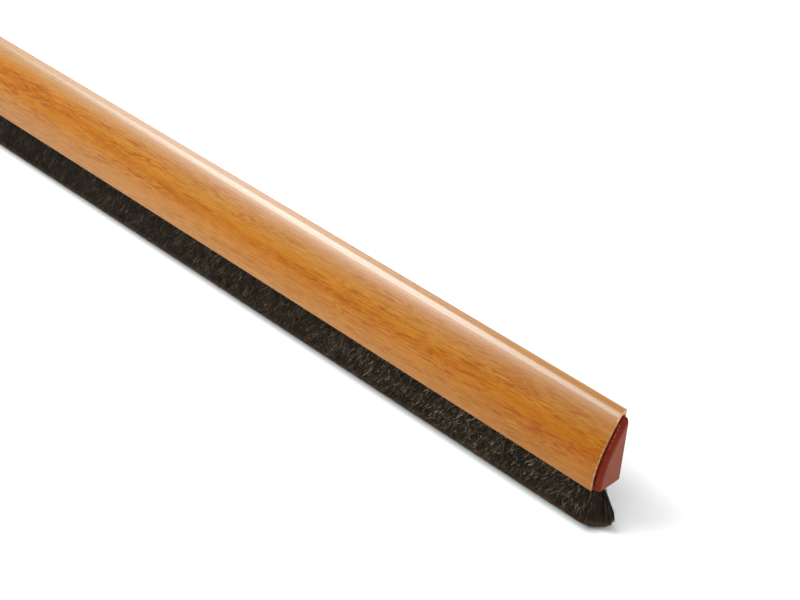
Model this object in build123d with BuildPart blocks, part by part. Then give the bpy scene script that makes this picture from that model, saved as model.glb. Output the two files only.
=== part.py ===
from build123d import *
import math
import os

# Door draught strip: a wood-effect cover clipped over a screwed rail, with a
# natural-hair brush held in a crimped channel and a moulded cap on each end.
# X runs along the strip, +Y points to the door and +Z is up. The origin is at
# mid-length, on the door side, on the centreline of the fixing slots.

os.makedirs("parts", exist_ok=True)

# ---- driving dimensions, millimetres ---------------------------------------
LENGTH = 1000.0             # over both end caps
CAP_FACE = 2.6              # how far an end cap stands out of the profile
PROFILE_LENGTH = LENGTH - 2 * CAP_FACE
HALF = PROFILE_LENGTH / 2

TOP_Z = 16.0                # top of the cover
PROFILE_HEIGHT = 36.0
PROFILE_DEPTH = 18.0
BOTTOM_Z = TOP_Z - PROFILE_HEIGHT
FRONT_Y = -PROFILE_DEPTH
BRUSH_TIP_Z = TOP_Z - 61.0  # 25 mm of free hair under the cover

# cover: its front is three tangent arcs, from the foot up to the nose
WALL = 1.45
LOW_R, LOW_TURN = 37.5, 27.5
MID_R, MID_TURN = 163.0, 5.9
NOSE_R, NOSE_TURN = 6.1, 48.6
CROWN_FALL = 90 - (LOW_TURN + MID_TURN + NOSE_TURN)  # slope left at the crown
CROWN_R = 0.45
LEG_T, LEG_Z = 0.9, TOP_Z - 4.2                      # short leg behind the nose
ROOF_Z = TOP_Z - 2.4
LIP_T, LIP_Y = 0.9, -15.0                            # inward lip at the foot
FOOT_R = 0.8

# rail: back plate, hook tongue, brush groove and a closed chamber
PLATE_T = 2.0
TONGUE_Y, TONGUE_Z = (-2.0, -1.0), TOP_Z - 2.65
WEB_T = 1.2
FOOT_TOP_Z = BOTTOM_Z + LIP_T + WEB_T
GROOVE_Y = (-11.1, -5.9)
GROOVE_WALL = 1.2
GROOVE_TOP_Z = FOOT_TOP_Z + 4.6
MOUTH_Y = (-10.4, -6.6)
RAIL_FRONT_Y = -16.4
SLOT_X = (90.0, 270.0, 450.0)
SLOT_LENGTH, SLOT_WIDTH = 9.0, 4.0

# brush strip: sheet channel, core wire and hair
BRUSH_Y = -8.5
BRUSH_HALF = HALF - 0.6
CHANNEL_W, CHANNEL_H, SHEET = 5.0, 4.2, 0.6
CHANNEL_TOP_Z = FOOT_TOP_Z + CHANNEL_H
CRIMP_Z = FOOT_TOP_Z + 1.6
C0, C1 = BRUSH_Y - CHANNEL_W / 2, BRUSH_Y + CHANNEL_W / 2
WIRE_R = 0.6
WIRE_Z = FOOT_TOP_Z + 2.5
HAIR_NECK = 2.9
NECK0, NECK1 = BRUSH_Y - HAIR_NECK / 2, BRUSH_Y + HAIR_NECK / 2
HAIR_TOP_Z = BOTTOM_Z + LIP_T
TIP_Y = (-12.4, -1.0)       # the hair leans a little towards the door
END_FAN = 7.0               # how far the last hairs spread past the profile
TIP_ROUND = 5.5             # the fanned ends are nearly half round in plan

# end caps
CAP_GAP = 0.6               # shadow gap between a cap and the cover's wall
CAP_Y = FRONT_Y + WALL + CAP_GAP
CAP_BACK_Y = -1.0
CAP_BOTTOM_Z = BOTTOM_Z - 0.9
CAP_SIDE = 0.6              # straight side of the flange before its rounding
ROUND_IN = 3.6              # how far the rounding reaches over the face
TIP_TURN = 16.6             # where the flange's front line ends, on the nose
TIP_ROLL = 5.2              # height over which the flange's tip is rounded
TIP_LEFT = 180 - LOW_TURN - MID_TURN - TIP_TURN
PLUG_DEPTH, PLUG_WALL, PLAY = 10.0, 1.4, 0.15
PEG_DEPTH = 8.0

# The lowest arc's centre height, so that the crown ends at TOP_Z.
turn_a = math.radians(LOW_TURN)
turn_b = math.radians(LOW_TURN + MID_TURN)
turn_c = math.radians(LOW_TURN + MID_TURN + NOSE_TURN)
rise = (
    LOW_R * math.sin(turn_a)
    + MID_R * (math.sin(turn_b) - math.sin(turn_a))
    + NOSE_R * (math.sin(turn_c) - math.sin(turn_b))
)
run = (
    LOW_R * (1 - math.cos(turn_a))
    + MID_R * (math.cos(turn_a) - math.cos(turn_b))
    + NOSE_R * (math.cos(turn_b) - math.cos(turn_c))
)
ARC_Z = TOP_Z - rise - (PROFILE_DEPTH - run) * math.tan(math.radians(CROWN_FALL))


def front_line(inset, low_z, turn):
    """The cover's front line moved inwards by inset, from low_z up to where the
    nose arc has made the given turn. Returns its first and last curves."""
    first = Line((FRONT_Y + inset, low_z), (FRONT_Y + inset, ARC_Z))
    low = JernArc(first @ 1, (0, 1), LOW_R - inset, -LOW_TURN)
    mid = JernArc(low @ 1, low % 1, MID_R - inset, -MID_TURN)
    last = JernArc(mid @ 1, mid % 1, NOSE_R - inset, -turn)
    return first, last


def block(y, z):
    """A rectangle of the section, from its lowest and highest y and z."""
    with Locations(((y[0] + y[1]) / 2, (z[0] + z[1]) / 2)):
        Rectangle(y[1] - y[0], z[1] - z[0])


def corners(sketch, x=None, y=None):
    """The sketch's corners at the given x, y or both."""
    return [
        v
        for v in sketch.vertices()
        if (x is None or abs(v.X - x) < 0.01) and (y is None or abs(v.Y - y) < 0.01)
    ]


# ---- cover: one thin extrusion with a hooked nose and a foot lip ------------
with BuildPart() as cover_profile:
    with BuildSketch(Plane.YZ) as cover_face:
        with BuildLine() as cover_line:
            foot, nose = front_line(0, BOTTOM_Z, NOSE_TURN)
            crown = Line(nose @ 1, (0, TOP_Z))
            back = Line(crown @ 1, (0, LEG_Z))
            leg_end = Line(back @ 1, (-LEG_T, LEG_Z))
            leg = Line(leg_end @ 1, (-LEG_T, ROOF_Z))
            inner_foot, inner_nose = front_line(WALL, BOTTOM_Z + LIP_T, 26.0)
            roof = Line(inner_nose @ 1, leg @ 1)
            lip = Polyline(
                inner_foot @ 0,
                (LIP_Y, BOTTOM_Z + LIP_T),
                (LIP_Y, BOTTOM_Z),
                foot @ 0,
            )
        make_face()
        fillet(corners(cover_face, x=FRONT_Y, y=BOTTOM_Z), FOOT_R)
        fillet(corners(cover_face, x=0, y=TOP_Z), CROWN_R)
        fillet(corners(cover_face, x=LIP_Y), 0.3)
    extrude(amount=HALF, both=True)
cover_profile.part.label = "cover_profile"

# ---- rail: one extrusion with punched slots for the fixing screws -----------
with BuildPart() as mounting_rail:
    with BuildSketch(Plane.YZ) as rail_face:
        block((-PLATE_T, 0), (BOTTOM_Z + LIP_T, LEG_Z))
        block(TONGUE_Y, (LEG_Z - 1.0, TONGUE_Z))
        block((RAIL_FRONT_Y, 0), (BOTTOM_Z + LIP_T, FOOT_TOP_Z))
        block(
            (GROOVE_Y[0] - GROOVE_WALL, -PLATE_T / 2),
            (GROOVE_TOP_Z, GROOVE_TOP_Z + 1.4),
        )
        block(
            (GROOVE_Y[0] - GROOVE_WALL, GROOVE_Y[0]),
            (FOOT_TOP_Z - 0.5, GROOVE_TOP_Z + 0.5),
        )
        block(
            (GROOVE_Y[1], GROOVE_Y[1] + GROOVE_WALL),
            (FOOT_TOP_Z - 0.5, GROOVE_TOP_Z + 0.5),
        )
        with Locations(((MOUTH_Y[0] + MOUTH_Y[1]) / 2, FOOT_TOP_Z - WEB_T / 2)):
            Rectangle(MOUTH_Y[1] - MOUTH_Y[0], WEB_T + 0.02, mode=Mode.SUBTRACT)
        fillet(corners(rail_face, y=TONGUE_Z), 0.3)
        fillet(corners(rail_face, x=RAIL_FRONT_Y), 0.3)
    extrude(amount=HALF, both=True)
    with BuildSketch(Plane.XZ) as slot_face:
        with Locations([(side * x, 0) for x in SLOT_X for side in (-1, 1)]):
            SlotOverall(SLOT_LENGTH, SLOT_WIDTH)
    extrude(amount=PLATE_T + 0.5, mode=Mode.SUBTRACT)
mounting_rail.part.label = "mounting_rail"

# ---- brush channel: folded strip crimped over the hair ----------------------
with BuildPart() as brush_channel:
    with BuildSketch(Plane.YZ) as channel_face:
        with BuildLine() as channel_line:
            Polyline(
                (NECK0 - SHEET, FOOT_TOP_Z),
                (C0, CRIMP_Z),
                (C0, CHANNEL_TOP_Z),
                (C1, CHANNEL_TOP_Z),
                (C1, CRIMP_Z),
                (NECK1 + SHEET, FOOT_TOP_Z),
                (NECK1, FOOT_TOP_Z),
                (C1 - SHEET, CRIMP_Z + 0.1),
                (C1 - SHEET, CHANNEL_TOP_Z - SHEET),
                (C0 + SHEET, CHANNEL_TOP_Z - SHEET),
                (C0 + SHEET, CRIMP_Z + 0.1),
                (NECK0, FOOT_TOP_Z),
                close=True,
            )
        make_face()
        fillet(corners(channel_face, y=CHANNEL_TOP_Z), 0.8)
    extrude(amount=BRUSH_HALF, both=True)
brush_channel.part.label = "brush_channel"

# ---- core wire that the hair is folded round --------------------------------
with BuildPart() as core_wire:
    with BuildSketch(Plane.YZ) as wire_face:
        with Locations((BRUSH_Y, WIRE_Z)):
            Circle(WIRE_R)
    extrude(amount=BRUSH_HALF, both=True)
core_wire.part.label = "core_wire"

# ---- hair: packed in the channel, then fanned out to the tips ---------------
with BuildPart() as bristles:
    with BuildSketch(Plane.YZ) as hair_face:
        with BuildLine() as hair_line:
            Polyline(
                (NECK0, HAIR_TOP_Z),
                (NECK0, FOOT_TOP_Z),
                (C0 + SHEET, CRIMP_Z + 0.1),
                (C0 + SHEET, CHANNEL_TOP_Z - SHEET),
                (C1 - SHEET, CHANNEL_TOP_Z - SHEET),
                (C1 - SHEET, CRIMP_Z + 0.1),
                (NECK1, FOOT_TOP_Z),
                (NECK1, HAIR_TOP_Z),
                close=True,
            )
        make_face()
        with Locations((BRUSH_Y, WIRE_Z)):
            Circle(WIRE_R, mode=Mode.SUBTRACT)
    extrude(amount=BRUSH_HALF, both=True)
    with BuildSketch(Plane.XY.offset(HAIR_TOP_Z)) as neck_plan:
        with Locations((0, BRUSH_Y)):
            RectangleRounded(2 * BRUSH_HALF, HAIR_NECK, 0.4)
    with BuildSketch(Plane.XY.offset(BRUSH_TIP_Z)) as tip_plan:
        with Locations((0, (TIP_Y[0] + TIP_Y[1]) / 2)):
            RectangleRounded(2 * (HALF + END_FAN), TIP_Y[1] - TIP_Y[0], TIP_ROUND)
    loft(ruled=True)
bristles.part.label = "bristles"

# ---- end caps: rounded flange, hollow plug and a peg ------------------------
with BuildPart() as end_cap_right:
    # flange, seated on the end of the rail
    with BuildSketch(Plane.YZ.offset(HALF)) as flange_face:
        with BuildLine() as flange_line:
            flange_foot, flange_nose = front_line(
                WALL + CAP_GAP, CAP_BOTTOM_Z, TIP_TURN
            )
            tip_r = (CAP_BACK_Y - (flange_nose @ 1).X) / (
                1 - math.cos(math.radians(TIP_LEFT))
            )
            flange_tip = JernArc(flange_nose @ 1, flange_nose % 1, tip_r, -TIP_LEFT)
            flange_back = Line(flange_tip @ 1, (CAP_BACK_Y, CAP_BOTTOM_Z))
            flange_low = Line(flange_back @ 1, flange_foot @ 0)
        make_face()
        fillet(corners(flange_face, x=CAP_Y, y=CAP_BOTTOM_Z), 2.0)
        fillet(corners(flange_face, x=CAP_BACK_Y, y=CAP_BOTTOM_Z), 0.9)
    extrude(amount=CAP_FACE)
    # small radius along the back and the underside of the outer face
    outer = end_cap_right.faces().sort_by(Axis.X)[-1]
    fillet(
        [
            e
            for e in outer.edges()
            if e.center().Y > CAP_BACK_Y - 0.4 or e.center().Z < CAP_BOTTOM_Z + 0.2
        ],
        0.45,
    )
    # broad rounding that follows the front line and runs out past the tip
    with BuildSketch(Plane.XY.offset(CAP_BOTTOM_Z - 2.0)) as round_face:
        with Locations((HALF + CAP_SIDE + 2.0, CAP_Y + ROUND_IN / 2 - 1.0)):
            Rectangle(4.0, ROUND_IN + 2.0)
        with Locations((HALF + CAP_SIDE, CAP_Y + ROUND_IN)):
            Ellipse(CAP_FACE - CAP_SIDE, ROUND_IN, mode=Mode.SUBTRACT)
    with BuildLine(Plane.YZ.offset(HALF)) as round_path:
        path_foot, path_nose = front_line(
            WALL + CAP_GAP, CAP_BOTTOM_Z - 2.0, TIP_TURN
        )
        Line(path_nose @ 1, (path_nose @ 1) + (path_nose % 1) * 5.0)
    sweep(sections=round_face.sketch, path=round_path.line, mode=Mode.SUBTRACT)
    # the tip rolls over towards the cover's nose
    tip_top = (flange_nose @ 1).Y + tip_r * (1 - math.sin(turn_b + math.radians(TIP_TURN)))
    with BuildSketch(Plane.XZ) as tip_face:
        with Locations((HALF + CAP_SIDE + 2.0, tip_top - TIP_ROLL / 2 + 1.0)):
            Rectangle(4.0, TIP_ROLL + 2.0)
        with Locations((HALF + CAP_SIDE, tip_top - TIP_ROLL)):
            Ellipse(CAP_FACE - CAP_SIDE, TIP_ROLL, mode=Mode.SUBTRACT)
    extrude(amount=PROFILE_DEPTH, mode=Mode.SUBTRACT)
    # hollow plug between the cover and the rail's plate, open at its inner end
    with BuildSketch(Plane.YZ.offset(HALF)) as plug_face:
        with BuildLine() as plug_line:
            plug_foot, plug_nose = front_line(WALL + PLAY, BOTTOM_Z, TIP_TURN)
            Polyline(plug_nose @ 1, (0, LEG_Z), (0, BOTTOM_Z), plug_foot @ 0)
        make_face()
        with Locations(
            ((FRONT_Y - PLATE_T - PLAY) / 2, (GROOVE_TOP_Z + LEG_Z) / 2)
        ):
            Rectangle(
                PROFILE_DEPTH - PLATE_T - PLAY,
                LEG_Z - GROOVE_TOP_Z - 2 * (1.4 + PLAY),
                mode=Mode.INTERSECT,
            )
        offset(amount=-PLUG_WALL, mode=Mode.SUBTRACT)
    extrude(amount=-PLUG_DEPTH)
    # peg for the rail's closed chamber
    with BuildSketch(Plane.YZ.offset(HALF)) as peg_face:
        block(
            (GROOVE_Y[1] + GROOVE_WALL + PLAY, -PLATE_T - PLAY),
            (FOOT_TOP_Z + PLAY, GROOVE_TOP_Z - PLAY),
        )
    extrude(amount=-PEG_DEPTH, taper=1.5)
end_cap_right.part.label = "end_cap_right"

# the left cap is the same moulding, handed
with BuildPart() as end_cap_left:
    mirror(end_cap_right.part, about=Plane.YZ)
end_cap_left.part.label = "end_cap_left"

for built in (
    cover_profile,
    mounting_rail,
    brush_channel,
    core_wire,
    bristles,
    end_cap_right,
    end_cap_left,
):
    export_step(built.part, f"parts/{built.part.label}.step")
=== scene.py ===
import math

import bpy
import numpy as np
from mathutils import Matrix


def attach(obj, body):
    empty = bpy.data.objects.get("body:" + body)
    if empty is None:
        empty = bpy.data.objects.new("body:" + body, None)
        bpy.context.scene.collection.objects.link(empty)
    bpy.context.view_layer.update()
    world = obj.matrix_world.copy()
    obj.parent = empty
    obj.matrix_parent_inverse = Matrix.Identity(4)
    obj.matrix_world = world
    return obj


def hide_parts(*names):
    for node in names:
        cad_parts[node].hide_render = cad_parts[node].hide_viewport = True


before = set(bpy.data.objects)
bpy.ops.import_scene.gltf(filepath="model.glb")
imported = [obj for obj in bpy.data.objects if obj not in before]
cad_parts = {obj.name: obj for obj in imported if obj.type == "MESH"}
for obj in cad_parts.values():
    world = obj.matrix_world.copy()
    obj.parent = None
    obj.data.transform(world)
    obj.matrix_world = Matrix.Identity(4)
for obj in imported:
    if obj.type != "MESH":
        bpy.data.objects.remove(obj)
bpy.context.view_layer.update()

# The strip lies along X, its back on y = 0, and its hair tips touch the floor.
MM = 0.001
FLOOR = -45.0

# ---- section of the cover, millimetres, as (y, z) ---------------------------
HALF = 497.4
TOP_Z, BOTTOM_Z, FRONT_Y = 16.0, -20.0, -18.0
WALL, LIP_T, LIP_Y, FOOT_R = 1.45, 0.9, -15.0, 0.8
LOW_R, LOW_TURN = 37.5, 27.5
MID_R, MID_TURN = 163.0, 5.9
NOSE_R, NOSE_TURN = 6.1, 48.6
CROWN_R, LEG_T, LEG_Z, ROOF_Z = 0.45, 0.9, 11.8, 13.6
A1 = math.radians(LOW_TURN)
A2 = math.radians(LOW_TURN + MID_TURN)
A3 = math.radians(LOW_TURN + MID_TURN + NOSE_TURN)
RISE = (LOW_R * math.sin(A1) + MID_R * (math.sin(A2) - math.sin(A1))
        + NOSE_R * (math.sin(A3) - math.sin(A2)))
RUN = (LOW_R * (1 - math.cos(A1)) + MID_R * (math.cos(A1) - math.cos(A2))
       + NOSE_R * (math.cos(A2) - math.cos(A3)))
ARC_Z = TOP_Z - RISE - (-FRONT_Y - RUN) * math.tan(math.pi / 2 - A3)


# ---- smooth seeded noise on plain numbers -----------------------------------
def wave(x, seed, period):
    """A smooth random line over x, about -1 to 1, with one swing per period."""
    g = np.random.default_rng(seed).uniform(-1, 1, 4096)
    t = np.asarray(x, float) / period + 2048.0
    i = np.floor(t).astype(int)
    f = t - i
    f = f * f * (3 - 2 * f)
    return g[i % 4096] * (1 - f) + g[(i + 1) % 4096] * f


def patch(x, z, seed, px, pz):
    """A smooth random field over x and z, about -1 to 1."""
    g = np.random.default_rng(seed).uniform(-1, 1, (1024, 64))
    tx, tz = np.asarray(x, float) / px + 512.0, np.asarray(z, float) / pz + 32.0
    i, j = np.floor(tx).astype(int), np.floor(tz).astype(int)
    fx, fz = tx - i, tz - j
    fx, fz = fx * fx * (3 - 2 * fx), fz * fz * (3 - 2 * fz)
    i0, i1, j0, j1 = i % 1024, (i + 1) % 1024, j % 64, (j + 1) % 64
    return ((g[i0, j0] * (1 - fx) + g[i1, j0] * fx) * (1 - fz)
            + (g[i0, j1] * (1 - fx) + g[i1, j1] * fx) * fz)


# ---- meshes -----------------------------------------------------------------
def mesh_object(name, verts, faces, looks=None, slots=None, sharp=None):
    """A mesh from an array of points in millimetres and a list of face arrays."""
    me = bpy.data.meshes.new(name)
    v = np.asarray(verts, np.float32) * MM
    me.vertices.add(len(v))
    me.vertices.foreach_set("co", v.ravel())
    loops = np.concatenate([np.asarray(f, np.int32).ravel() for f in faces])
    sizes = np.concatenate([np.full(len(f), np.shape(f)[1], np.int32) for f in faces])
    me.loops.add(len(loops))
    me.loops.foreach_set("vertex_index", loops)
    me.polygons.add(len(sizes))
    me.polygons.foreach_set("loop_start", np.concatenate([[0], np.cumsum(sizes)[:-1]]).astype(np.int32))
    me.update(calc_edges=True)
    me.shade_smooth()
    if sharp is not None:
        me.set_sharp_from_angle(angle=math.radians(sharp))
    for m in looks or ():
        me.materials.append(m)
    if slots is not None:
        me.polygons.foreach_set("material_index", np.asarray(slots, np.int32))
    me.validate()
    ob = bpy.data.objects.new(name, me)
    bpy.context.scene.collection.objects.link(ob)
    return ob


def front_line(inset, turn, steps):
    """Points of the cover's front, from its foot to the given turn of the nose."""
    n1, n2, n3 = steps
    cy, cz = FRONT_Y + LOW_R, ARC_Z
    out = [(cy - (LOW_R - inset) * math.cos(t), cz + (LOW_R - inset) * math.sin(t))
           for t in np.linspace(0, A1, n1)]
    cy, cz = cy + (MID_R - LOW_R) * math.cos(A1), cz - (MID_R - LOW_R) * math.sin(A1)
    out += [(cy - (MID_R - inset) * math.cos(t), cz + (MID_R - inset) * math.sin(t))
            for t in np.linspace(A1, A2, n2)[1:]]
    cy, cz = cy - (MID_R - NOSE_R) * math.cos(A2), cz + (MID_R - NOSE_R) * math.sin(A2)
    out += [(cy - (NOSE_R - inset) * math.cos(t), cz + (NOSE_R - inset) * math.sin(t))
            for t in np.linspace(A2, A2 + math.radians(turn), n3)[1:]]
    return out


def bow(cy, cz, r, a0, a1, n):
    return [(cy + r * math.cos(a), cz + r * math.sin(a))
            for a in np.linspace(math.radians(a0), math.radians(a1), n)]


def straight(a, b, n):
    return [(a[0] + (b[0] - a[0]) * t, a[1] + (b[1] - a[1]) * t)
            for t in np.linspace(0, 1, n + 1)[1:-1]]


def cover_section():
    """The closed section, and which of its points carry the foil."""
    outer = bow(FRONT_Y + FOOT_R, BOTTOM_Z + FOOT_R, FOOT_R, 270, 180, 9)
    outer += front_line(0, NOSE_TURN, (64, 58, 40))
    k = CROWN_R * math.tan(math.radians(49))
    top = (-k * math.cos(math.radians(8)), TOP_Z - k * math.sin(math.radians(8)))
    outer += straight(outer[-1], top, 16)
    outer += bow(-CROWN_R, TOP_Z - k, CROWN_R, 98, 0, 9)
    outer += straight(outer[-1], (0, LEG_Z), 8) + [(0, LEG_Z)]
    inner = [(-LEG_T * t, LEG_Z) for t in (0.33, 0.67, 1.0)]
    inner += straight((-LEG_T, LEG_Z), (-LEG_T, ROOF_Z), 4) + [(-LEG_T, ROOF_Z)]
    nose = front_line(WALL, 26.0, (34, 30, 18))[::-1]
    inner += straight((-LEG_T, ROOF_Z), nose[0], 6) + nose
    inner += [(FRONT_Y + WALL, BOTTOM_Z + LIP_T)]
    inner += bow(LIP_Y - 0.3, BOTTOM_Z + LIP_T - 0.3, 0.3, 90, 0, 5)
    inner += bow(LIP_Y - 0.3, BOTTOM_Z + 0.3, 0.3, 0, -90, 5)
    inner += straight(inner[-1], outer[0], 4)
    return np.array(outer + inner), len(outer)


def build_cover(looks):
    """One thin extrusion with sawn ends: the foil's edge is slightly ragged and
    chipped there, and the pale core shows."""
    loop, foil = cover_section()
    n = len(loop)
    step = np.roll(loop, -1, 0) - np.roll(loop, 1, 0)
    step /= np.linalg.norm(step, axis=1)[:, None]
    inward = np.stack([step[:, 1], -step[:, 0]], 1)  # the loop runs clockwise
    s = np.concatenate([[0], np.cumsum(np.linalg.norm(np.diff(loop, axis=0), axis=1))])

    def ragged(seed, chips):
        """How far the foil's edge is back from the sawn face, by place in the loop."""
        back = 0.05 + 0.03 * np.abs(wave(s, seed, 0.5)) + 0.05 * np.clip(wave(s, seed + 1, 1.7), 0, 1)
        for at, width, deep in chips:
            back += deep * np.exp(-(((s - at) / width) ** 4))
        back[foil:] = 0.05
        return back

    # places along the section, width and depth of the chips at each end
    right = ragged(11, [(4.6, 0.35, 0.16), (9.3, 0.45, 0.30), (12.7, 0.4, 0.34), (18.6, 0.5, 0.42),
                        (21.6, 0.35, 0.28), (30.2, 0.4, 0.22), (35.9, 0.5, 0.46), (38.6, 0.4, 0.2)])
    left = ragged(31, [(3.2, 0.4, 0.22), (8.1, 0.5, 0.3), (15.4, 0.4, 0.36), (24.9, 0.45, 0.26),
                       (33.0, 0.4, 0.32), (37.2, 0.4, 0.2)])

    rings = []
    for side, back in ((-1, left), (1, right)):
        cut = loop + inward * (0.04 + 0.55 * (back - 0.05))[:, None]
        face = np.column_stack([np.full(n, side * HALF), cut])
        face[:, 0] -= side * 0.02 * np.abs(wave(s, 71 + side, 0.9))
        edge = np.column_stack([side * (HALF - back), loop])
        near = [np.column_stack([np.full(n, side * (HALF - d)), loop]) for d in (0.8, 3.0, 12.0)]
        rings.append([face, edge] + near)
    middle = [np.column_stack([np.full(n, x), loop]) for x in np.linspace(-450, 450, 13)]
    stack = rings[0] + middle + rings[1][::-1]
    verts = np.concatenate(stack)
    i = np.arange(n)
    j = (i + 1) % n
    quads, mats = [], []
    for k in range(len(stack) - 1):
        a, b = k * n, (k + 1) * n
        quads.append(np.column_stack([a + i, b + i, b + j, a + j]))
        wood = np.where(i < foil - 1, 0, 1)
        if k in (0, len(stack) - 2):
            wood[:] = 1
        mats.append(wood)
    quads = np.concatenate(quads)
    last = (len(stack) - 1) * n
    ends = [i[None, :], (last + i[::-1])[None, :]]
    return mesh_object("cover_foil_and_core", verts, [quads] + ends,
                       looks, np.concatenate(mats + [[1, 1]]), sharp=32)


# ---- hair -------------------------------------------------------------------
# In plan the row is a bar with elliptic ends at every height. It widens towards the
# floor, and its ends curl under.
NECK_Z, NECK_F, NECK_B = -19.1, -9.95, -7.05
TIP_F, TIP_B = -12.4, -1.0
LEVELS = (-45.0, -44.0, -43.0, -42.0, -41.0, -40.0, -38.5, -36.5, -33.7, -30.6, -27.6, -24.7, -19.1)
LEVEL_X = (496.0, 499.3, 501.0, 502.3, 503.3, 504.0, 504.5, 504.0, 502.4, 501.0, 499.6, 498.0, 496.4)
LEVEL_R = (7.0, 8.0, 8.2, 8.0, 7.6, 7.2, 6.6, 6.0, 5.5, 5.5, 5.5, 5.5, 5.5)


def plan(z):
    """Half length, front, back and the end's two radii at height z."""
    z = np.asarray(z, float)
    t = np.clip((NECK_Z - z) / (NECK_Z - FLOOR), 0, 1)
    a = np.interp(z, LEVELS, LEVEL_X)
    f = NECK_F + (TIP_F - NECK_F) * t ** 0.85 - 0.30 * np.sin(np.pi * t)
    b = NECK_B + (TIP_B - NECK_B) * t + 0.10 * np.sin(np.pi * t)
    ry = np.minimum((b - f) / 2 - 0.05, 5.5)
    return a, f, b, np.interp(z, LEVELS, LEVEL_R) * ry / 5.5, ry


RUN, END = 2 * 497.0, 17.6          # share of a straight side and of an end
RIM = 2 * (RUN + END)


def rim(u, z):
    """Points and outward directions on the row's outline. u runs once round it,
    from the left end of the front."""
    a, f, b, rx, ry = plan(z)
    u = np.mod(np.asarray(u, float), RIM)
    flip = u >= RIM / 2
    w = np.where(flip, u - RIM / 2, u)
    along = w < RUN
    x0 = -(a - rx) + w / RUN * 2 * (a - rx)
    ang = -math.pi / 2 + (w - RUN) / END * math.pi
    c, h = (f + b) / 2, (b - f) / 2
    flat = h - ry
    x = np.where(along, x0, a - rx + rx * np.cos(ang))
    y = np.where(along, -h, ry * np.sin(ang) + flat * np.sign(np.sin(ang)))
    nx = np.where(along, 0.0, np.cos(ang) / rx)
    ny = np.where(along, -1.0, np.sin(ang) / ry)
    size = np.hypot(nx, ny)
    turn = np.where(flip, -1.0, 1.0)
    return turn * x, c + turn * y, turn * nx / size, turn * ny / size


def build_core(look):
    """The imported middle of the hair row: one closed, tufted body."""
    u = np.concatenate([np.linspace(0, RUN, 900, endpoint=False),
                        np.linspace(RUN, RIM / 2, 24, endpoint=False)])
    u = np.concatenate([u, u + RIM / 2])
    n = len(u)
    levels = [(z, 0.75) for z in np.linspace(NECK_Z, -43.4, 14)]
    levels += [(-44.0, 0.95), (-44.4, 1.35), (-44.62, 2.1)]
    rings = []
    for z, inset in levels:
        zz = np.full(n, z)
        x, y, nx, ny = rim(u, zz)
        t = (NECK_Z - z) / (NECK_Z - FLOOR)
        bump = (0.42 * patch(u, zz, 41, 2.3, 6.0) + 0.26 * patch(u, zz, 42, 1.2, 4.0)) * min(1, 0.25 + t)
        tuck = inset - bump - 0.35 * (1 - t)
        lift = 0.0
        rings.append(np.column_stack([x - nx * tuck, y - ny * tuck, zz + lift]))
    verts = np.concatenate(rings)
    i = np.arange(n)
    j = (i + 1) % n
    quads = np.concatenate([np.column_stack([k * n + i, (k + 1) * n + i, (k + 1) * n + j, k * n + j])
                            for k in range(len(rings) - 1)])
    last = (len(rings) - 1) * n
    return mesh_object("hair_body", verts, [quads, i[None, :], (last + i[::-1])[None, :]], [look])


def prisms(name, paths, widths, look):
    """Closed three-sided hairs that taper to a point. paths is hairs x points x 3."""
    n, k, _ = paths.shape
    t = np.gradient(paths, axis=1)
    t /= np.linalg.norm(t, axis=2)[..., None] + 1e-9
    ref = np.zeros_like(t)
    ref[..., 1] = 1.0
    ref[np.abs(t[..., 1]) > 0.9] = (1.0, 0.0, 0.0)
    u = np.cross(t, ref)
    u /= np.linalg.norm(u, axis=2)[..., None] + 1e-9
    w = np.cross(t, u)
    spin = np.random.default_rng(900).uniform(0, 2 * math.pi, n)[:, None]
    verts = np.zeros((n, (k - 1) * 3 + 1, 3))
    for c in range(3):
        a = spin + c * 2 * math.pi / 3
        off = np.cos(a)[..., None] * u[:, :-1] + np.sin(a)[..., None] * w[:, :-1]
        verts[:, c:(k - 1) * 3:3] = paths[:, :-1] + off * widths[:, :-1, None] / 2
    verts[:, -1] = paths[:, -1]
    per = verts.shape[1]
    base = (np.arange(n) * per)[:, None, None]
    quad, tri = [], [[2, 1, 0]]
    for ring in range(k - 2):
        o = ring * 3
        quad += [[o + c, o + (c + 1) % 3, o + 3 + (c + 1) % 3, o + 3 + c] for c in range(3)]
    o = (k - 2) * 3
    tri += [[o + c, o + (c + 1) % 3, per - 1] for c in range(3)]
    faces = [(base + np.array(tri)[None]).reshape(-1, 3)]
    if quad:
        faces.insert(0, (base + np.array(quad)[None]).reshape(-1, 4))
    return mesh_object(name, verts.reshape(-1, 3), faces, [look])


def grow(rng, root, way, length, curl, points=4, droop=0.0):
    """Wavy centre lines from root along way. curl is the sideways swing."""
    n = len(root)
    p = np.zeros((n, points, 3))
    p[:, 0] = root
    turn = rng.normal(0, 1, (n, 3)) * curl[:, None]
    d = way.copy()
    for k in range(1, points):
        d = d + turn * 0.6 + rng.normal(0, 1, (n, 3)) * curl[:, None] * 0.5
        d[:, 2] -= droop
        d /= np.linalg.norm(d, axis=1)[:, None]
        p[:, k] = p[:, k - 1] + d * (length / (points - 1))[:, None]
    return p


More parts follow.
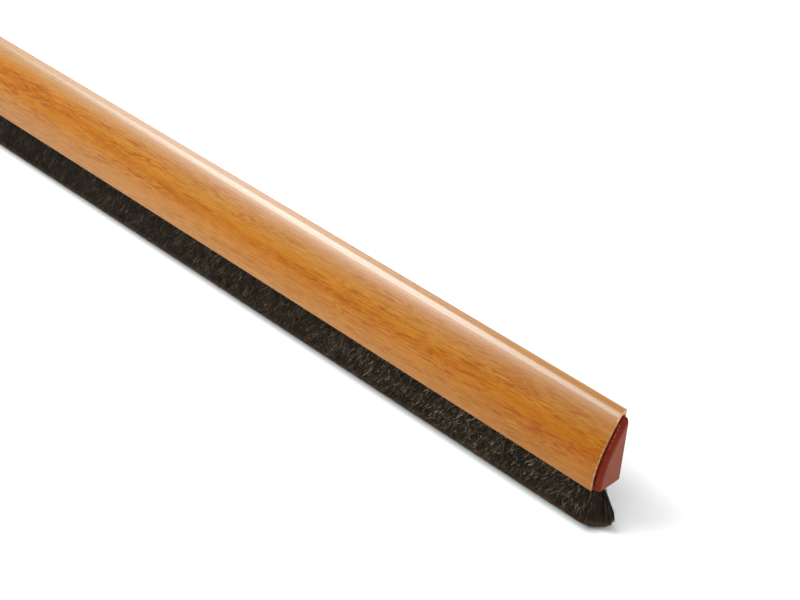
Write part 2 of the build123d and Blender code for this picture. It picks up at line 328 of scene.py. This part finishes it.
def keep_in(p, over, lift):
    """Holds hair on the row's outline: over is how far each may stand proud."""
    x, y = p[..., 0], p[..., 1]
    low = FLOOR + 0.04 + lift[:, None] * (0.15 + 1.2 * np.clip((np.abs(x) - 490.0) / 12.0, 0, 1))
    p[..., 2] = np.maximum(p[..., 2], low)
    a, f, b, rx, ry = plan(p[..., 2])
    c, h = (f + b) / 2, (b - f) / 2
    px = np.maximum(np.abs(x) - (a - rx), 0) * ry / rx
    py = np.maximum(np.abs(y - c) - (h - ry), 0)
    size = np.maximum(np.hypot(px, py), 1e-6)
    back = np.maximum(size - ry - over[:, None], 0)
    p[..., 0] -= np.sign(x) * back * px / size * rx / ry
    p[..., 1] -= np.sign(y - c) * back * py / size
    p[..., 1] = np.minimum(p[..., 1], -0.05)
    return p


def taper(rng, n, points, thick):
    t = np.linspace(0, 1, points)
    return (thick * rng.uniform(0.6, 1.3, n))[:, None] * (1 - 0.5 * t ** 1.5)[None]


def lying_hair(seed, count, u0, u1, size=0.27, points=3):
    """Hair that lies over the row between two places on its outline: wavy and
    criss-crossing along the sides, longer and straighter round the ends."""
    rng = np.random.default_rng(seed)
    u = rng.uniform(u0, u1, count)
    z = -42.8 + 22.6 * rng.uniform(0, 1, count) ** 0.9
    x, y, nx, ny = rim(u, z)
    near = np.clip((np.abs(x) - 484.0) / 14.0, 0, 1)
    side = np.sign(x)
    tuft = patch(u, z, seed + 1, 3.0, 6.0)
    sweep = patch(u, z, seed + 2, 17.0, 30.0)
    stray = rng.uniform(0, 1, count) < 0.20 * (1 - 0.7 * near)
    lean = (-0.70 + 0.20 * tuft + 0.30 * sweep) + rng.normal(0, 0.24, count)
    lean = np.where(stray, rng.normal(-0.4, 0.9, count), lean)
    lean_x = lean * (1 - 0.75 * near) + side * 0.20 * near
    lift = np.abs(rng.normal(0.10, 0.10, count)) + np.where(stray, 0.14, 0.0)
    way = np.column_stack([lean_x * np.abs(ny) + nx * (lift + 0.24), ny * lift + nx * lean * 0.35 * np.abs(nx),
                           -np.ones(count)])
    way /= np.linalg.norm(way, axis=1)[:, None]
    length = np.clip(rng.normal(8.5 + 4.0 * near, 2.8, count), 3.0, 20.0)
    length = np.where(stray, length * 0.7, length)
    curl = np.where(stray, 0.22, 0.08) * rng.uniform(0.4, 1.6, count) * (1 - 0.6 * near)
    root = np.column_stack([x, y, z])
    sink = rng.uniform(0.30, 0.9, count)
    root[:, 0] -= nx * sink
    root[:, 1] -= ny * sink
    p = grow(rng, root, way, length, curl, points, droop=0.02 + 0.03 * near.mean())
    p = keep_in(p, rng.uniform(0.0, 0.55, count) ** 1.3 + np.where(stray, 0.15, 0.0), rng.uniform(0, 1, count))
    return p, taper(rng, count, points, size)


def under_hair(seed, count):
    """Short tips that stand on the floor under the row."""
    rng = np.random.default_rng(seed)
    x = rng.uniform(-498.0, 498.0, count)
    share = rng.uniform(0, 1, count)
    y = TIP_F + 0.3 + (TIP_B - TIP_F - 0.6) * share
    z = FLOOR + 2.4 + rng.uniform(-0.4, 0.8, count)
    way = np.column_stack([rng.normal(0, 0.25, count), rng.normal(0, 0.2, count) + (share - 0.5) * 0.2,
                           -np.ones(count)])
    way /= np.linalg.norm(way, axis=1)[:, None]
    length = z - FLOOR + rng.uniform(-0.35, 0.1, count)
    p = grow(rng, np.column_stack([x, y, z]), way, length, np.full(count, 0.08), points=3)
    p = keep_in(p, np.zeros(count), rng.uniform(0, 1, count))
    return p, taper(rng, count, 3, 0.22)


# ---- materials --------------------------------------------------------------
class Look:
    """A material and short calls for its nodes."""

    def __init__(self, name, **values):
        self.m = bpy.data.materials.new(name)
        self.m.use_nodes = True
        self.t = self.m.node_tree
        self.b = self.t.nodes["Principled BSDF"]
        for key, value in values.items():
            self.b.inputs[key.replace("_", " ")].default_value = value
        self.place = self.t.nodes.new("ShaderNodeTexCoord").outputs["Object"]

    def link(self, a, b):
        self.t.links.new(a, b)

    def scaled(self, vector, scale, shift=(0, 0, 0)):
        n = self.t.nodes.new("ShaderNodeMapping")
        n.inputs["Scale"].default_value = scale
        n.inputs["Location"].default_value = shift
        self.link(vector, n.inputs["Vector"])
        return n.outputs["Vector"]

    def noise(self, scale, shift=(0, 0, 0), detail=2.0, rough=0.5, vector=None, bend=0.0):
        n = self.t.nodes.new("ShaderNodeTexNoise")
        n.inputs["Scale"].default_value = 1.0
        n.inputs["Detail"].default_value = detail
        n.inputs["Roughness"].default_value = rough
        n.inputs["Distortion"].default_value = bend
        self.link(self.scaled(vector or self.place, scale, shift), n.inputs["Vector"])
        return n.outputs["Fac"]

    def ramp(self, value, *stops, smooth=False):
        n = self.t.nodes.new("ShaderNodeValToRGB")
        r = n.color_ramp
        r.interpolation = "EASE" if smooth else "LINEAR"
        while len(r.elements) < len(stops):
            r.elements.new(0.5)
        for e, (at, colour) in zip(r.elements, stops):
            e.position = at
            e.color = (*colour, 1) if hasattr(colour, "__len__") else (colour, colour, colour, 1)
        self.link(value, n.inputs["Fac"])
        return n.outputs["Color"]

    def mix(self, fac, a, b, kind="MIX"):
        n = self.t.nodes.new("ShaderNodeMix")
        n.data_type, n.blend_type = "RGBA", kind
        for value, socket in ((fac, n.inputs[0]), (a, n.inputs[6]), (b, n.inputs[7])):
            if isinstance(value, bpy.types.NodeSocket):
                self.link(value, socket)
            elif hasattr(value, "__len__"):
                socket.default_value = (*value, 1)
            else:
                socket.default_value = value
        return n.outputs[2]

    def math(self, kind, a, b=0.0, c=0.0, clamp=False):
        n = self.t.nodes.new("ShaderNodeMath")
        n.operation, n.use_clamp = kind, clamp
        for value, socket in zip((a, b, c), n.inputs):
            if isinstance(value, bpy.types.NodeSocket):
                self.link(value, socket)
            else:
                socket.default_value = value
        return n.outputs[0]

    def span(self, value, a, b, lo=0.0, hi=1.0):
        n = self.t.nodes.new("ShaderNodeMapRange")
        n.inputs["From Min"].default_value = a
        n.inputs["From Max"].default_value = b
        n.inputs["To Min"].default_value = lo
        n.inputs["To Max"].default_value = hi
        self.link(value, n.inputs["Value"])
        return n.outputs["Result"]

    def xyz(self):
        n = self.t.nodes.new("ShaderNodeSeparateXYZ")
        self.link(self.place, n.inputs[0])
        return n.outputs

    def bump(self, height, depth_m, normal=None):
        n = self.t.nodes.new("ShaderNodeBump")
        n.inputs["Strength"].default_value = 1.0
        n.inputs["Distance"].default_value = depth_m
        self.link(height, n.inputs["Height"])
        if normal is not None:
            self.link(normal, n.inputs["Normal"])
        return n.outputs["Normal"]

    def done(self, colour=None, roughness=None, normal=None, metallic=None):
        for value, name in ((colour, "Base Color"), (roughness, "Roughness"), (normal, "Normal"),
                            (metallic, "Metallic")):
            if value is not None:
                self.link(value, self.b.inputs[name])
        return self.m


def v_z(k, vector):
    n = k.t.nodes.new("ShaderNodeSeparateXYZ")
    k.link(vector, n.inputs[0])
    return n.outputs[2]


def wood_foil():
    """Printed wood grain along X under a satin lacquer."""
    k = Look("wood_foil", IOR=1.6)
    x, y, z = k.xyz()
    # the grain wanders slowly across the width
    drift = k.noise((4.0, 11, 11), (3, 1, 2), detail=1)
    comb = k.t.nodes.new("ShaderNodeCombineXYZ")
    k.link(x, comb.inputs[0])
    # and runs a little askew to the strip, up towards the nose on the right
    k.link(k.math("ADD", k.math("MULTIPLY_ADD", drift, 0.0030, y), k.math("MULTIPLY", x, -0.016)), comb.inputs[1])
    k.link(k.math("ADD", k.math("MULTIPLY_ADD", drift, 0.0030, z), k.math("MULTIPLY", x, -0.032)), comb.inputs[2])
    v = comb.outputs[0]
    along = k.span(x, -0.5, 0.5)
    up = k.span(z, -0.020, 0.016)
    # the print is weaker where the nose turns over
    face = k.math("MULTIPLY", k.span(z, 0.0125, 0.0080, 0.20, 1.0), k.span(z, -0.0170, -0.0080, 0.62, 1.0))
    # broad tones over the height: tan at the foot, a deep orange band, then gold;
    # the band lies higher on one part of the length, and its edges wander
    lift = k.ramp(along, (0.0, 0.06), (0.22, 0.0), (0.42, 0.12), (0.55, 0.18), (0.63, 0.13), (0.74, 0.0), (1.0, 0.0),
                  smooth=True)
    wander = k.noise((8, 130, 130), (5, 2, 9), detail=3, rough=0.5, vector=v)
    tone = k.math("ADD", k.math("SUBTRACT", up, lift), k.math("MULTIPLY_ADD", wander, 0.28, -0.14))
    colour = k.ramp(tone, (0.04, (0.295, 0.132, 0.031)), (0.20, (0.288, 0.122, 0.0215)), (0.36, (0.291, 0.112, 0.0120)),
                    (0.49, (0.275, 0.0940, 0.0050)), (0.60, (0.292, 0.118, 0.0100)), (0.74, (0.279, 0.1255, 0.0255)),
                    (0.88, (0.273, 0.1210, 0.0340)), (1.0, (0.282, 0.128, 0.036)))
    # painted shade: the foil is darker and more saturated towards the right end, a little darker still low down there,
    # and darker low down towards the left end
    far = k.span(x, 0.34, 0.50)
    colour = k.mix(far, colour, k.mix(1.0, colour, (0.93, 0.84, 0.66), "MULTIPLY"))
    colour = k.mix(k.math("MULTIPLY", far, k.span(up, 0.45, 0.12)), colour,
                   k.mix(1.0, colour, (0.97, 0.94, 0.94), "MULTIPLY"))
    colour = k.mix(k.math("MULTIPLY", k.span(x, 0.21, 0.08), k.span(up, 0.50, 0.25)), colour,
                   k.mix(1.0, colour, (0.88, 0.86, 0.86), "MULTIPLY"))
    # painted: the base is less red where the nose's highlight falls, to tint that highlight cream, and the crown is
    # painted lighter and warmer towards the right end
    nose = k.math("MULTIPLY", k.span(z, 0.0118, 0.0132), k.span(z, 0.0158, 0.0150))
    colour = k.mix(nose, colour, k.mix(1.0, colour, (0.87, 1.0, 1.03), "MULTIPLY"))
    crown = k.math("MULTIPLY", k.span(z, 0.0143, 0.0152), k.span(x, 0.24, 0.44))
    colour = k.mix(crown, colour, k.mix(1.0, colour, (1.13, 1.10, 0.95), "MULTIPLY"))
    bands = k.noise((30, 620, 620), (1, 7, 3), detail=3, rough=0.62, vector=v)
    colour = k.mix(face, colour, k.ramp(bands, (0.34, (0.94, 0.89, 0.75)), (0.50, 1.0), (0.68, (1.04, 1.08, 1.19))),
                   "MULTIPLY")
    fibre = k.noise((95, 2300, 2300), (8, 4, 6), detail=3, rough=0.62, vector=v)
    colour = k.mix(face, colour, k.ramp(fibre, (0.32, (0.85, 0.77, 0.58)), (0.50, 1.0), (0.68, (1.06, 1.10, 1.19))),
                   "MULTIPLY")
    # darker pores: short broken dashes and longer lines, both in groups
    short = k.span(k.noise((150, 1900, 1900), (2, 3, 5), detail=1, rough=0.5, vector=v), 0.550, 0.562)
    line = k.span(k.noise((36, 1650, 1650), (7, 3, 2), detail=2, rough=0.55, vector=v), 0.556, 0.580)
    broken = k.span(k.noise((520, 1700, 1700), (3, 9, 6), detail=1, vector=v), 0.40, 0.56, 0.15, 1.0)
    group = k.span(k.noise((17, 240, 240), (6, 6, 1), detail=2, vector=v), 0.40, 0.56, 0.30, 1.0)
    heart = k.ramp(tone, (0.10, 0.35), (0.36, 1.0), (0.60, 1.0), (0.84, 0.05))
    dark = k.math("MAXIMUM", k.math("MULTIPLY", short, 0.95), k.math("MULTIPLY", line, broken))
    dark = k.math("MULTIPLY", dark, k.math("MULTIPLY", group, k.span(heart, 0.0, 1.0, 0.58, 1.0)), clamp=True)
    dark = k.math("MULTIPLY", dark, face)
    colour = k.mix(k.math("MULTIPLY", dark, 0.95), colour, (0.193, 0.0450, 0.0011))
    # at the crown a painted highlight line and, on the very edge, a red-brown line
    pale = k.math("MULTIPLY", k.span(y, -0.00125, -0.0010), k.span(y, -0.0006, -0.00045, 1.0, 0.0))
    colour = k.mix(k.math("MULTIPLY", pale, 0.45), colour, (0.46, 0.26, 0.115))
    edge_line = k.math("MULTIPLY", k.span(y, -0.00055, -0.0004), 0.8)
    colour = k.mix(edge_line, colour, (0.175, 0.032, 0.010))
    rough = k.span(fibre, 0.3, 0.7, 0.265, 0.285)
    sheen = k.ramp(k.span(z, 0.0035, 0.0155), (0.0, 0.12), (0.21, 0.16), (0.37, 0.22), (0.50, 0.27), (0.61, 0.36),
                   (0.68, 0.47), (0.78, 0.68), (0.84, 0.66), (0.92, 0.56), (1.0, 0.56))
    k.link(k.math("MULTIPLY", sheen, k.span(x, 0.40, 0.50, 1.0, 0.78)), k.b.inputs["Specular IOR Level"])
    height = k.math("SUBTRACT", k.math("MULTIPLY", fibre, 0.35), dark)
    return k.done(colour, rough, k.bump(height, 0.000003))


def core_plastic():
    """The cover's core, where it is sawn and on its inside: tan, with pale chips, and darker towards the inner edge of
    the cut, below the nose."""
    k = Look("cover_core", IOR=1.45, Specular_IOR_Level=0.3)
    x, y, z = k.xyz()
    saw = k.noise((900, 1500, 420), (1, 1, 1), detail=4, rough=0.65)
    spot = k.noise((1400, 1400, 1400), (4, 2, 7), detail=2)
    colour = k.ramp(saw, (0.30, (0.25, 0.120, 0.045)), (0.50, (0.45, 0.245, 0.108)), (0.75, (0.66, 0.42, 0.225)))
    colour = k.mix(k.math("MULTIPLY", k.span(spot, 0.63, 0.70), 0.9), colour, (0.86, 0.74, 0.54))
    # depth under the lowest arc and under the middle arc of the front
    depth = []
    for r, cy, cz in ((LOW_R, FRONT_Y + LOW_R, ARC_Z),
                      (MID_R, FRONT_Y + LOW_R + (MID_R - LOW_R) * math.cos(A1),
                       ARC_Z - (MID_R - LOW_R) * math.sin(A1))):
        n = k.t.nodes.new("ShaderNodeCombineXYZ")
        k.link(y, n.inputs[1])
        k.link(z, n.inputs[2])
        d = k.t.nodes.new("ShaderNodeVectorMath")
        d.operation = "DISTANCE"
        k.link(n.outputs[0], d.inputs[0])
        d.inputs[1].default_value = (0, cy * MM, cz * MM)
        depth.append(k.math("SUBTRACT", r * MM, d.outputs["Value"]))
    low, middle = depth
    meet = (ARC_Z + LOW_R * math.sin(A1)) * MM
    inner = k.math("MULTIPLY_ADD", k.span(z, meet - 0.0001, meet + 0.0001), k.math("SUBTRACT", middle, low), low)
    edge = k.math("MULTIPLY_ADD", k.noise((600, 600, 600), (5, 5, 5), detail=2), 0.0006, inner)
    nose = k.span(z, 0.0110, 0.0125)
    colour = k.mix(k.math("MULTIPLY", nose, 0.7), colour, (0.66, 0.345, 0.190))
    # darker towards the inner edge of the cut, below the nose
    inner_dark = k.math("MULTIPLY", k.span(edge, 0.00088, 0.00112), k.span(z, 0.0115, 0.0085))
    colour = k.mix(k.math("MULTIPLY", inner_dark, 0.92), colour, (0.050, 0.018, 0.008))
    return k.done(colour, k.span(saw, 0.3, 0.7, 0.45, 0.62), k.bump(saw, 0.00010))


def cap_plastic():
    """Moulded mahogany-red plastic: the flat face is painted lighter and duller in colour than the rounded front, for
    the light it picks up, and the rounded front has a painted highlight line along its rim."""
    k = Look("cap_plastic", IOR=1.5)
    x, y, z = k.xyz()
    out = k.math("ABSOLUTE", x)
    flat = k.span(out, 0.49975, 0.49997)
    cloud = k.noise((140, 140, 140), (3, 8, 2), detail=3)
    grain = k.noise((5200, 5200, 5200), (1, 4, 4), detail=2)
    colour = k.ramp(cloud, (0.32, (0.132, 0.0103, 0.0025)), (0.68, (0.158, 0.0126, 0.0032)))
    # painted light: the flat face gets a lighter, duller copy of the red
    flat_lit = k.ramp(cloud, (0.32, (0.198, 0.0350, 0.0075)), (0.68, (0.230, 0.0430, 0.0105)))
    colour = k.mix(flat, colour, flat_lit)
    # painted highlight: a stippled light line along the rim, on its upper front part
    rim_at = k.math("ABSOLUTE", k.math("SUBTRACT", out, 0.49828))
    dash = k.span(k.noise((900, 900, 1500), (2, 2, 8), detail=2), 0.42, 0.60)
    rim_highlight = k.math("MULTIPLY", k.span(rim_at, 0.00022, 0.00010), k.math("MULTIPLY", dash, k.span(z, -0.006, 0.004)))
    rim_highlight = k.math("MULTIPLY", rim_highlight, k.span(y, -0.0040, -0.0050), clamp=True)
    colour = k.mix(k.math("MULTIPLY", rim_highlight, 0.5), colour, (0.56, 0.24, 0.17))
    cells = k.t.nodes.new("ShaderNodeTexVoronoi")
    cells.inputs["Scale"].default_value = 1.0
    k.link(k.scaled(k.place, (260, 260, 260), (4, 1, 2)), cells.inputs["Vector"])
    speck = k.math("LESS_THAN", cells.outputs["Distance"], 0.052)
    colour = k.mix(k.math("MULTIPLY", speck, 0.55), colour, (0.62, 0.40, 0.30))
    k.link(k.span(flat, 0.0, 1.0, 0.09, 0.13), k.b.inputs["Specular IOR Level"])
    return k.done(colour, k.span(grain, 0.35, 0.65, 0.30, 0.38), k.bump(grain, 0.000008))


def rail_plastic():
    """Extruded matt plastic with faint die lines along X."""
    k = Look("rail_plastic", IOR=1.47)
    lines = k.noise((3, 2400, 2400), (2, 2, 2), detail=3, rough=0.65)
    cloud = k.noise((12, 90, 90), (5, 5, 1), detail=3)
    colour = k.ramp(cloud, (0.30, (0.235, 0.082, 0.045)), (0.70, (0.290, 0.108, 0.062)))
    colour = k.mix(1.0, colour, k.ramp(lines, (0.3, 0.90), (0.7, 1.06)), "MULTIPLY")
    return k.done(colour, k.span(lines, 0.3, 0.7, 0.46, 0.58), k.bump(lines, 0.000020))


def plated_steel(name, shift, lo, hi):
    """Bright zinc plating with rolling marks along X and a faint spangle."""
    k = Look(name, Metallic=1.0)
    rolled = k.noise((20, 3000, 3000), shift, detail=3, rough=0.6)
    spangle = k.noise((380, 380, 380), (shift[1], shift[2], shift[0]), detail=2)
    colour = k.ramp(spangle, (0.32, (0.50, 0.51, 0.52)), (0.68, (0.70, 0.70, 0.69)))
    colour = k.mix(1.0, colour, k.ramp(rolled, (0.3, 0.88), (0.7, 1.05)), "MULTIPLY")
    return k.done(colour, k.span(rolled, 0.3, 0.7, lo, hi), k.bump(rolled, 0.000010))


def hair_look(name, tones, tip, rough=0.42):
    """Dark natural hair: each one has its own tone, and they go brown at the floor. Light tones, partly real light
    hairs and partly painted glints, show only in patches along each hair.
    """
    k = Look(name, IOR=1.5, Specular_IOR_Level=0.10)
    own = k.t.nodes.new("ShaderNodeNewGeometry").outputs["Random Per Island"]
    x, y, z = k.xyz()
    curled = k.span(k.math("ABSOLUTE", x), 0.490, 0.503, 0.0, 0.0042)
    colour = k.ramp(own, *tones)
    # painted glints: a hair shows its own light tone only over parts of its length, fewer towards the left and at the
    # row's ends, and is dark elsewhere
    shift = k.t.nodes.new("ShaderNodeCombineXYZ")
    k.link(k.math("MULTIPLY", own, 0.9), shift.inputs[0])
    apart = k.t.nodes.new("ShaderNodeVectorMath")
    k.link(k.place, apart.inputs[0])
    k.link(shift.outputs[0], apart.inputs[1])
    glint_spots = k.noise((360, 500, 300), (2, 5, 3), detail=1, vector=apart.outputs[0])
    far = k.span(x, 0.08, 0.45, 0.78, 0.0)
    share = k.math("MULTIPLY", k.span(glint_spots, 0.46, 0.53), k.math("SUBTRACT", 1.0, far))
    share = k.math("MULTIPLY", share, k.span(k.math("ABSOLUTE", x), 0.4860, 0.4960, 1.0, 0.16))
    colour = k.mix(share, k.ramp(own, (0.0, (0.0062, 0.0043, 0.0021)), (1.0, (0.037, 0.0275, 0.0155))), colour)
    low = k.math("ADD", z, k.math("MULTIPLY", k.noise((700, 700, 300), (7, 1, 1)), 0.003))
    low = k.math("SUBTRACT", low, curled)
    brown = k.math("MULTIPLY", k.span(low, -0.0402, -0.0436), k.span(own, 0.0, 1.0, 0.40, 1.0))
    colour = k.mix(brown, colour, tip)
    return k.done(colour, k.span(own, 0.0, 1.0, rough - 0.08, rough + 0.1))


def body_look():
    """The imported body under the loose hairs: fibrous and nearly black."""
    k = Look("hair_body", IOR=1.5, Specular_IOR_Level=0.05)
    strand = k.noise((2600, 2600, 150), (1, 2, 3), detail=3, rough=0.6, bend=0.5)
    colour = k.ramp(strand, (0.34, (0.0030, 0.0022, 0.0015)), (0.62, (0.012, 0.0090, 0.0060)),
                    (0.78, (0.030, 0.0225, 0.015)))
    brown = k.span(k.xyz()[2], -0.0425, -0.0446)
    colour = k.mix(k.math("MULTIPLY", brown, 0.6), colour, (0.045, 0.028, 0.018))
    return k.done(colour, k.span(strand, 0.3, 0.7, 0.55, 0.4), k.bump(strand, 0.00030))


# ---- the strip --------------------------------------------------------------
foil, core = wood_foil(), core_plastic()
cover = build_cover([foil, core])
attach(cover, "root")
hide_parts("cover_profile")

packed = build_core(body_look())
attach(packed, "root")
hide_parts("bristles")

# each hair's tone: the lightest stops are partly real light hairs and partly painted glints
TONES = ((0.0, (0.0044, 0.0028, 0.0011)), (0.35, (0.0094, 0.0063, 0.0030)),
         (0.62, (0.023, 0.0165, 0.0090)), (0.84, (0.140, 0.104, 0.061)), (1.0, (0.80, 0.645, 0.43)))
TIP = (0.150, 0.094, 0.056)
loose = hair_look("hair_loose", TONES, TIP)
tufts = [
    ("hair_front_left", lying_hair(101, 7400, 8, RUN / 2, 0.30)),
    ("hair_front_mid", lying_hair(121, 19400, RUN / 2, RUN * 0.76, 0.17)),
    ("hair_front_right", lying_hair(131, 19400, RUN * 0.76, RUN * 0.885, 0.155)),
    ("hair_front_end", lying_hair(151, 17600, RUN * 0.885, RUN - 8, 0.155)),
    ("hair_back", lying_hair(141, 7600, RUN + END + 8, 2 * RUN + END - 8, 0.30)),
]
right_end = lying_hair(161, 5400, RUN - 9, RUN + END + 9, 0.150)
left_end = lying_hair(181, 3400, 2 * RUN + END - 9, 2 * RUN + 2 * END + 9, 0.22)
under = under_hair(201, 9300)
tufts.append(("hair_ends", tuple(np.concatenate(v) for v in zip(right_end, left_end))))
tufts.append(("hair_under", under))
for name, (paths, widths) in tufts:
    ob = prisms(name, paths, widths, loose)
    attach(ob, "root")

CARRIED = {
    "mounting_rail": (rail_plastic(), "rail_plastic"),
    "brush_channel": (plated_steel("channel_steel", (3, 1, 4), 0.28, 0.42), "channel_steel"),
    "core_wire": (plated_steel("wire_steel", (6, 2, 5), 0.22, 0.34), "wire_steel"),
    "end_cap_right": (cap_plastic(), "cap_plastic"),
}
CARRIED["end_cap_left"] = CARRIED["end_cap_right"]
for node, (look, slot) in CARRIED.items():
    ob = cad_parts[node]
    ob.data.materials.clear()
    ob.data.materials.append(look)

# ---- floor, light and camera ------------------------------------------------
floor_look = Look("floor_paper", Roughness=0.9)
floor_look.b.inputs["Specular IOR Level"].default_value = 0.1
paper = floor_look.noise((3, 3, 3), detail=2)
# painted contact shadow: ambient occlusion darkens the floor's colour close to the strip, only in front of it and short
# of its right end
shut = floor_look.t.nodes.new("ShaderNodeAmbientOcclusion")
shut.samples = 8
shut.inputs["Distance"].default_value = 0.008
painted_contact_shadow = floor_look.ramp(shut.outputs["AO"], (0.46, (0.137, 0.143, 0.145)), (0.56, (0.229, 0.240, 0.242)),
                          (0.64, (0.357, 0.371, 0.373)), (0.71, (0.505, 0.522, 0.524)), (0.78, (0.655, 0.668, 0.669)),
                          (0.88, (0.900, 0.910, 0.910)), (0.96, 1.0))
fx, fy, fz = floor_look.xyz()
ahead = floor_look.math("MULTIPLY", floor_look.span(fy, -0.0080, -0.0110), floor_look.span(fx, 0.5040, 0.4960))
painted_contact_shadow = floor_look.mix(ahead, (1, 1, 1), painted_contact_shadow)
floor_look.done(floor_look.mix(1.0, floor_look.ramp(paper, (0.3, 0.905), (0.7, 0.925)), painted_contact_shadow, "MULTIPLY"))
side = np.linspace(-4000, 4000, 9)
gx, gy = np.meshgrid(side, side)
grid = np.column_stack([gx.ravel(), gy.ravel(), np.full(81, FLOOR)])
at = (np.arange(8)[:, None] * 9 + np.arange(8)[None]).ravel()
floor = mesh_object("floor", grid, [np.column_stack([at, at + 1, at + 10, at + 9])], [floor_look.m])

CAM = np.array((834.338, -521.562, 479.270))
RIGHT = np.array((0.711210, 0.700254, 0.061849))
UP = np.array((-0.431312, 0.365195, 0.824986))
FWD = np.array((-0.555113, 0.613414, -0.561758))
camera = bpy.data.cameras.new("camera")
camera.lens, camera.sensor_width = 81.0, 36.0
camera.clip_start, camera.clip_end = 0.01, 60.0
cam = bpy.data.objects.new("camera", camera)
cam.matrix_world = Matrix([[RIGHT[i], UP[i], -FWD[i], CAM[i] * MM] for i in range(3)] + [[0, 0, 0, 1]])
bpy.context.scene.collection.objects.link(cam)
bpy.context.scene.camera = cam


def softbox(name, way, distance, size, power, aim=(250.0, -8.0, -10.0), colour=(1, 1, 1)):
    """A rectangular light at the given direction from aim, facing it."""
    d = np.array(way, float)
    d /= np.linalg.norm(d)
    light = bpy.data.lights.new(name, "AREA")
    light.shape, light.size, light.size_y = "RECTANGLE", size[0], size[1]
    light.energy, light.color = power, colour
    ob = bpy.data.objects.new(name, light)
    x = np.cross((0, 0, 1), d)
    x = x / np.linalg.norm(x) if np.linalg.norm(x) > 1e-6 else np.array((1.0, 0, 0))
    y = np.cross(d, x)
    place = np.array(aim) * MM + d * distance
    ob.matrix_world = Matrix([[x[i], y[i], d[i], place[i]] for i in range(3)] + [[0, 0, 0, 1]])
    bpy.context.scene.collection.objects.link(ob)
    return ob


def toward(azimuth, elevation):
    """A direction: azimuth 0 is -Y and 90 is +X."""
    a, e = math.radians(azimuth), math.radians(elevation)
    return (math.sin(a) * math.cos(e), -math.cos(a) * math.cos(e), math.sin(e))


softbox("key", toward(-38, 45.5), 2.6, (1.50, 1.50), 50)
softbox("left", toward(-64, 46), 1.5, (0.62, 0.56), 9.8)
softbox("back", toward(-106, 47), 2.0, (0.95, 0.75), 11.4)
softbox("low", toward(-39, 26.6), 2.0, (0.66, 0.41), 9.7)
softbox("front", toward(18, 55), 2.4, (1.4, 1.4), 14)
softbox("right", toward(75, 35), 2.4, (1.4, 1.4), 12)

world = bpy.data.worlds.new("world")
world.use_nodes = True
world.node_tree.nodes["Background"].inputs["Color"].default_value = (0.95, 0.97, 1.0, 1)
world.node_tree.nodes["Background"].inputs["Strength"].default_value = 0.455
bpy.context.scene.world = world
bpy.context.scene.view_settings.view_transform = "Standard"
bpy.context.scene.view_settings.look = "None"
